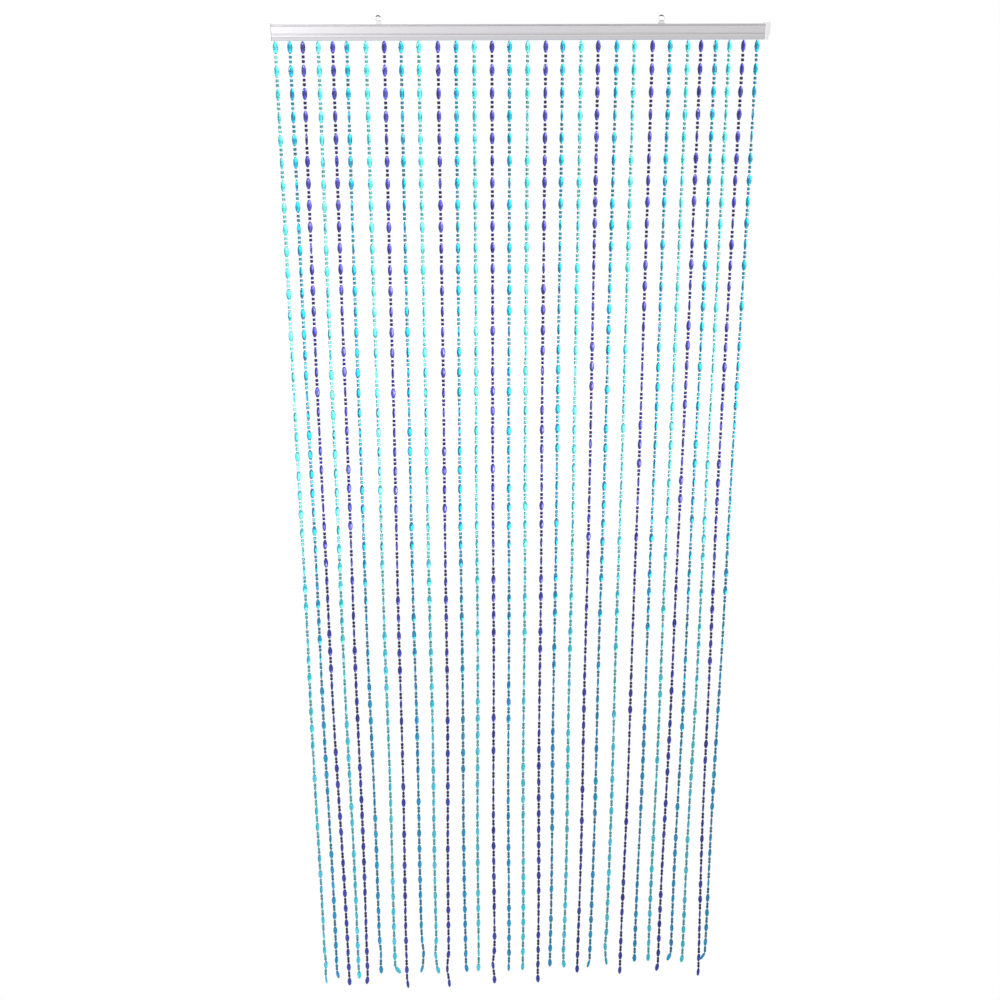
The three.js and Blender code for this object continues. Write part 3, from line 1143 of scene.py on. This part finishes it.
@dataclass
class StrandSet:
    """All the strands of one colour, with the backing strip that holds them in the rail."""

    colour: StrandColour
    ovals: int
    depth: float
    place: StripPlace
    seed: int
    layout: Layout = field(default_factory=Layout)
    oval_reach: int = 5
    spacer_reach: int = 1
    slow_twist: float = 3.4
    jitter: float = 0.75
    middle_turn: float = 0.8
    string_radius: float = 0.5 * MM
    string_sides: int = 6
    strip_length: float = 881.0 * MM
    strip_bottom: float = 1.8 * MM
    strip_height: float = 4.0 * MM
    strip_inner: float = 2.85 * MM
    strip_outer: float = 8.0 * MM
    strip_gap: float = 0.3 * MM
    flange_half: float = 6.0 * MM
    flange_height: float = 1.5 * MM
    strip_edge: float = 0.2 * MM
    strip_edge_steps: int = 2

    @property
    def underside(self) -> float:
        """The height of the rail's underside."""
        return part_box("rail")[0].z

    def strands(self) -> list[Strand]:
        """Gives this colour's strands, from left to right."""
        return [
            Strand(self.layout, index, self.ovals, across, self.depth, self.underside)
            for index, across in enumerate(self.layout.positions())
            if self.layout.colour_of(index) is self.colour
        ]

    def guide(self, name: str, path: Callable[[Strand], list[Vector]]) -> Mesh:
        """Makes a mesh with one run of edges for each strand.

        Args:
            name: the mesh's name.
            path: gives a strand's points.

        Returns:
            The mesh, whose points know their strand and its number of ovals.
        """
        points: list[Vector] = []
        edges: list[tuple[int, int]] = []
        numbers: list[float] = []
        for strand in self.strands():
            run = path(strand)
            start = len(points)
            points.extend(run)
            edges.extend((start + step, start + step + 1) for step in range(len(run) - 1))
            numbers.extend([float(strand.index)] * len(run))
        mesh = bpy.data.meshes.new(name)
        mesh.from_pydata(points, edges, [])
        for stored, values in (("strand", numbers), ("ovals", [float(self.ovals)] * len(points))):
            mesh.attributes.new(stored, "FLOAT", "POINT").data.foreach_set("value", values)
        return mesh

    def strip_outline(self) -> list[Limits]:
        """Gives the backing strip's section, a T for the middle one, as (depth, height)."""
        low = self.underside + self.strip_bottom
        high = low + self.strip_height
        if self.place is not StripPlace.MIDDLE:
            near = self.place.value * self.strip_inner
            far = self.place.value * self.strip_outer
            return [(near, low), (far, low), (far, high), (near, high)]
        neck = self.strip_inner - self.strip_gap
        shelf = high + self.strip_gap
        top = shelf + self.flange_height
        half = [(neck, low), (neck, shelf), (self.flange_half, shelf), (self.flange_half, top)]
        return half + [(-depth, up) for depth, up in reversed(half)]

    def beads(self, kit: StrandKit, form: BeadForm, reach: int) -> Thing:
        """Threads one form of bead on all the strands.

        Args:
            kit: what the strands are made with.
            form: the form of bead.
            reach: how many steps the beads lie from the middle of their repeat.

        Returns:
            The piece.
        """
        name = f"{self.colour.value}_{form.value}"
        return run_tree(
            kit.beads_tree,
            self.guide(name + "_runs", Strand.bead_path),
            name,
            Bead=kit.patterns[form],
            Reach=reach,
            Slow_Twist=self.slow_twist,
            Jitter=self.jitter,
            Middle_Turn=self.middle_turn,
            Seed=self.seed + reach,
            Finish=kit.plastics[self.colour][form],
        )

    def strings(self, kit: StrandKit) -> Thing:
        """Makes the strings of all the strands."""
        name = self.colour.value + "_strings"
        guide = self.guide(name + "_runs", Strand.string_path)
        sizes = {"Radius": self.string_radius, "Sides": self.string_sides}
        return run_tree(kit.string_tree, guide, name, Finish=kit.string_finish, **sizes)

    def strip(self, kit: StrandKit) -> Thing:
        """Makes the backing strip."""
        name = self.colour.value + "_backing_strip"
        half = self.strip_length / 2
        bar = prism(name, self.strip_outline(), "X", -half, half)
        mesh = bevelled(name, bar, self.strip_edge, self.strip_edge_steps)
        return mesh_object(name, mesh, kit.strip_finish)

    def build(self, kit: StrandKit) -> None:
        """Builds the colour's ovals, spacers, strings and backing strip."""
        pieces = (
            self.beads(kit, BeadForm.OVAL, self.oval_reach),
            self.beads(kit, BeadForm.SPACER, self.spacer_reach),
            self.strings(kit),
            self.strip(kit),
        )
        for piece in pieces:
            finish_piece(piece, self.colour.value + "_strands")


# The studio


@dataclass
class Studio:
    """The camera at the photograph's angle, a floor that glows as a painted light, and the light of a white
    room.

    The fades give the light from a direction: across is its X, up is its Z and aside is how far its X
    lies from back_centre. The front light is what the rail mirrors, and the back light is what the
    beads bend towards the camera, so it counts only for rays that come through them. Each of the
    back_bands is given by the heights between which it fades in, and its strength.
    """

    camera_place: tuple[float, float, float] = (-0.237, -2.609, 0.0374)
    yaw: float = 4.37
    pitch: float = 19.99
    roll: float = -0.04
    lens: float = 50.11
    sensor: float = 36.0
    clip: Limits = (0.05, 200.0)
    floor_gap: float = 0.15
    floor_half_width: float = 4.0
    floor_depths: Limits = (-0.6, 3.0)
    # the floor's glow, a painted light: its colour, and its strength from left to right
    floor_glow_colour: Colour = (0.6, 0.8, 1.0)
    floor_glow_across: Fade = Fade(-0.6, 0.6, 1.2, 0.75)
    front_across: Fade = Fade(-0.02, 0.15, 1.0, 0.775)
    front_up: Fade = Fade(-0.35, 0.0, 0.83, 1.0)
    back_low_up: Fade = Fade(-0.75, -0.4, 0.8, 3.0)
    back_low_across: Fade = Fade(-0.18, 0.1, 2.9, 1.0)
    back_bands: tuple[tuple[float, float, float], ...] = (
        (-0.3, -0.1, 1.3),
        (0.02, 0.14, 3.6),
        (0.3, 0.44, 0.15),
    )
    back_across: Fade = Fade(-0.15, 0.2, 1.75, 0.62)
    back_centre: float = 0.05
    back_aside: Fade = Fade(0.18, 0.45, 1.0, 0.35)
    behind: Fade = Fade(-0.3, 0.3, 0.0, 1.0)
    ceiling_up: Fade = Fade(0.7, 0.92, 1.0, 0.3)
    key_place: tuple[float, float, float] = (-1.0, -1.2, 0.4)
    key_aim: tuple[float, float, float] = (-0.2, 0.0, -0.4)
    key_size: float = 0.6
    key_watts: float = 11.0

    def make_camera(self) -> None:
        """Places the camera and makes it the scene's."""
        data = bpy.data.cameras.new("view")
        data.lens = self.lens
        data.sensor_width = self.sensor
        data.clip_start, data.clip_end = self.clip
        camera = bpy.data.objects.new("view", data)
        bpy.context.scene.collection.objects.link(camera)
        camera.location = self.camera_place
        turn = Matrix.Rotation(math.radians(-self.yaw), 3, "Z")
        dip = Matrix.Rotation(math.radians(90.0 - self.pitch), 3, "X")
        lean = Matrix.Rotation(math.radians(self.roll), 3, "Z")
        camera.rotation_euler = (turn @ dip @ lean).to_euler()
        bpy.context.scene.camera = camera

    def make_floor(self) -> None:
        """Lays a floor under the curtain that glows as a painted light: plain white to the camera, and bluer
        and brighter on the left to the beads.
        """
        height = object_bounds()[0].z - self.floor_gap
        half = self.floor_half_width
        front, back = self.floor_depths
        mesh = bpy.data.meshes.new("floor")
        corners = [(-half, front, height), (half, front, height), (half, back, height), (-half, back, height)]
        mesh.from_pydata(corners, [], [(0, 1, 2, 3)])
        build = FinishBuilder("white_floor")
        strength = build.fade(build.axes("Object")["X"], self.floor_glow_across)
        lit = build.add("ShaderNodeEmission", {"Color": rgba(self.floor_glow_colour), "Strength": strength})
        build.white_to_camera(lit, "Material Output")
        build.tree.nodes.remove(build.shader)
        mesh_object("floor", mesh, build.material)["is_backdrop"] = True

    def make_key_light(self) -> None:
        """Adds the soft square light that gives the rail and the eyes their highlights."""
        data = bpy.data.lights.new("key", "AREA")
        data.size = self.key_size
        data.energy = self.key_watts
        light = bpy.data.objects.new("key", data)
        bpy.context.scene.collection.objects.link(light)
        light.location = self.key_place
        ahead = Vector(self.key_aim) - Vector(self.key_place)
        light.rotation_euler = ahead.to_track_quat("-Z", "Y").to_euler()

    def front_light(self, build: TreeBuilder, axes: Sequence[Socket]) -> Socket:
        """Gives the strength of the light from the room's side of the curtain."""
        across = build.fade(axes["X"], self.front_across)
        return build.math("MULTIPLY", across, build.fade(axes["Z"], self.front_up))

    def back_light(self, build: TreeBuilder, axes: Sequence[Socket]) -> Socket:
        """Gives the strength of the light behind the curtain, in bands from the floor up."""
        low = build.fade(axes["Z"], self.back_low_up)
        level = build.math("MULTIPLY", low, build.fade(axes["X"], self.back_low_across))
        for start, end, strength in self.back_bands:
            level = build.fade(axes["Z"], Fade(start, end, level, strength))
        leaning = build.math("MULTIPLY", level, build.fade(axes["X"], self.back_across))
        aside = build.math("ABSOLUTE", build.math("SUBTRACT", axes["X"], self.back_centre))
        return build.math("MULTIPLY", leaning, build.fade(aside, self.back_aside))

    def make_world(self) -> None:
        """Surrounds the curtain with a room that is white to the camera and shaded to its pieces."""
        world = bpy.data.worlds.new("white_room")
        bpy.context.scene.world = world
        world.use_nodes = True
        build = TreeBuilder(world.node_tree)
        axes = build.axes("Generated")
        front = self.front_light(build, axes)
        back = self.back_light(build, axes)
        through = build.add("ShaderNodeLightPath").outputs["Is Transmission Ray"]
        share = build.math("MULTIPLY", build.fade(axes["Y"], self.behind), through)
        level = build.math("MULTIPLY_ADD", build.math("SUBTRACT", back, front), share, front)
        strength = build.math("MULTIPLY", level, build.fade(axes["Z"], self.ceiling_up))
        lit = build.tree.nodes["Background"]
        build.feed(lit.inputs["Color"], rgba(WHITE))
        build.feed(lit.inputs["Strength"], strength)
        build.white_to_camera(lit, "World Output")

    def build(self) -> None:
        """Sets up the room, the floor and the light."""
        self.make_world()
        self.make_floor()
        self.make_key_light()
        bpy.context.scene.view_settings.view_transform = "Standard"


def main() -> None:
    """Loads the frame, builds every piece in turn and sets the studio round it."""
    logging.basicConfig(level=logging.INFO, format="%(message)s")
    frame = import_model()
    studio = Studio()
    studio.make_camera()
    grain = surface_grain()
    HangingRail(frame["nodes"]).build(BRUSHED_ALUMINIUM.make(grain), MOULDED_WHITE.make(grain))
    wire = CHROMED_WIRE.make(grain)
    for eye in (HangingEye("hanging_eye_left", 0.35), HangingEye("hanging_eye_right", 0.0)):
        eye.build(wire)
    kit = StrandKit.new(grain)
    sets = (
        StrandSet(StrandColour.AQUA, ovals=51, depth=-3.9 * MM, place=StripPlace.FRONT, seed=11),
        StrandSet(StrandColour.CYAN, ovals=51, depth=0.0, place=StripPlace.MIDDLE, seed=23),
        StrandSet(StrandColour.INDIGO, ovals=52, depth=3.9 * MM, place=StripPlace.BACK, seed=37),
    )
    for strands in sets:
        strands.build(kit)
    kit.discard_patterns()
    studio.build()


if __name__ == "__main__":
    main()
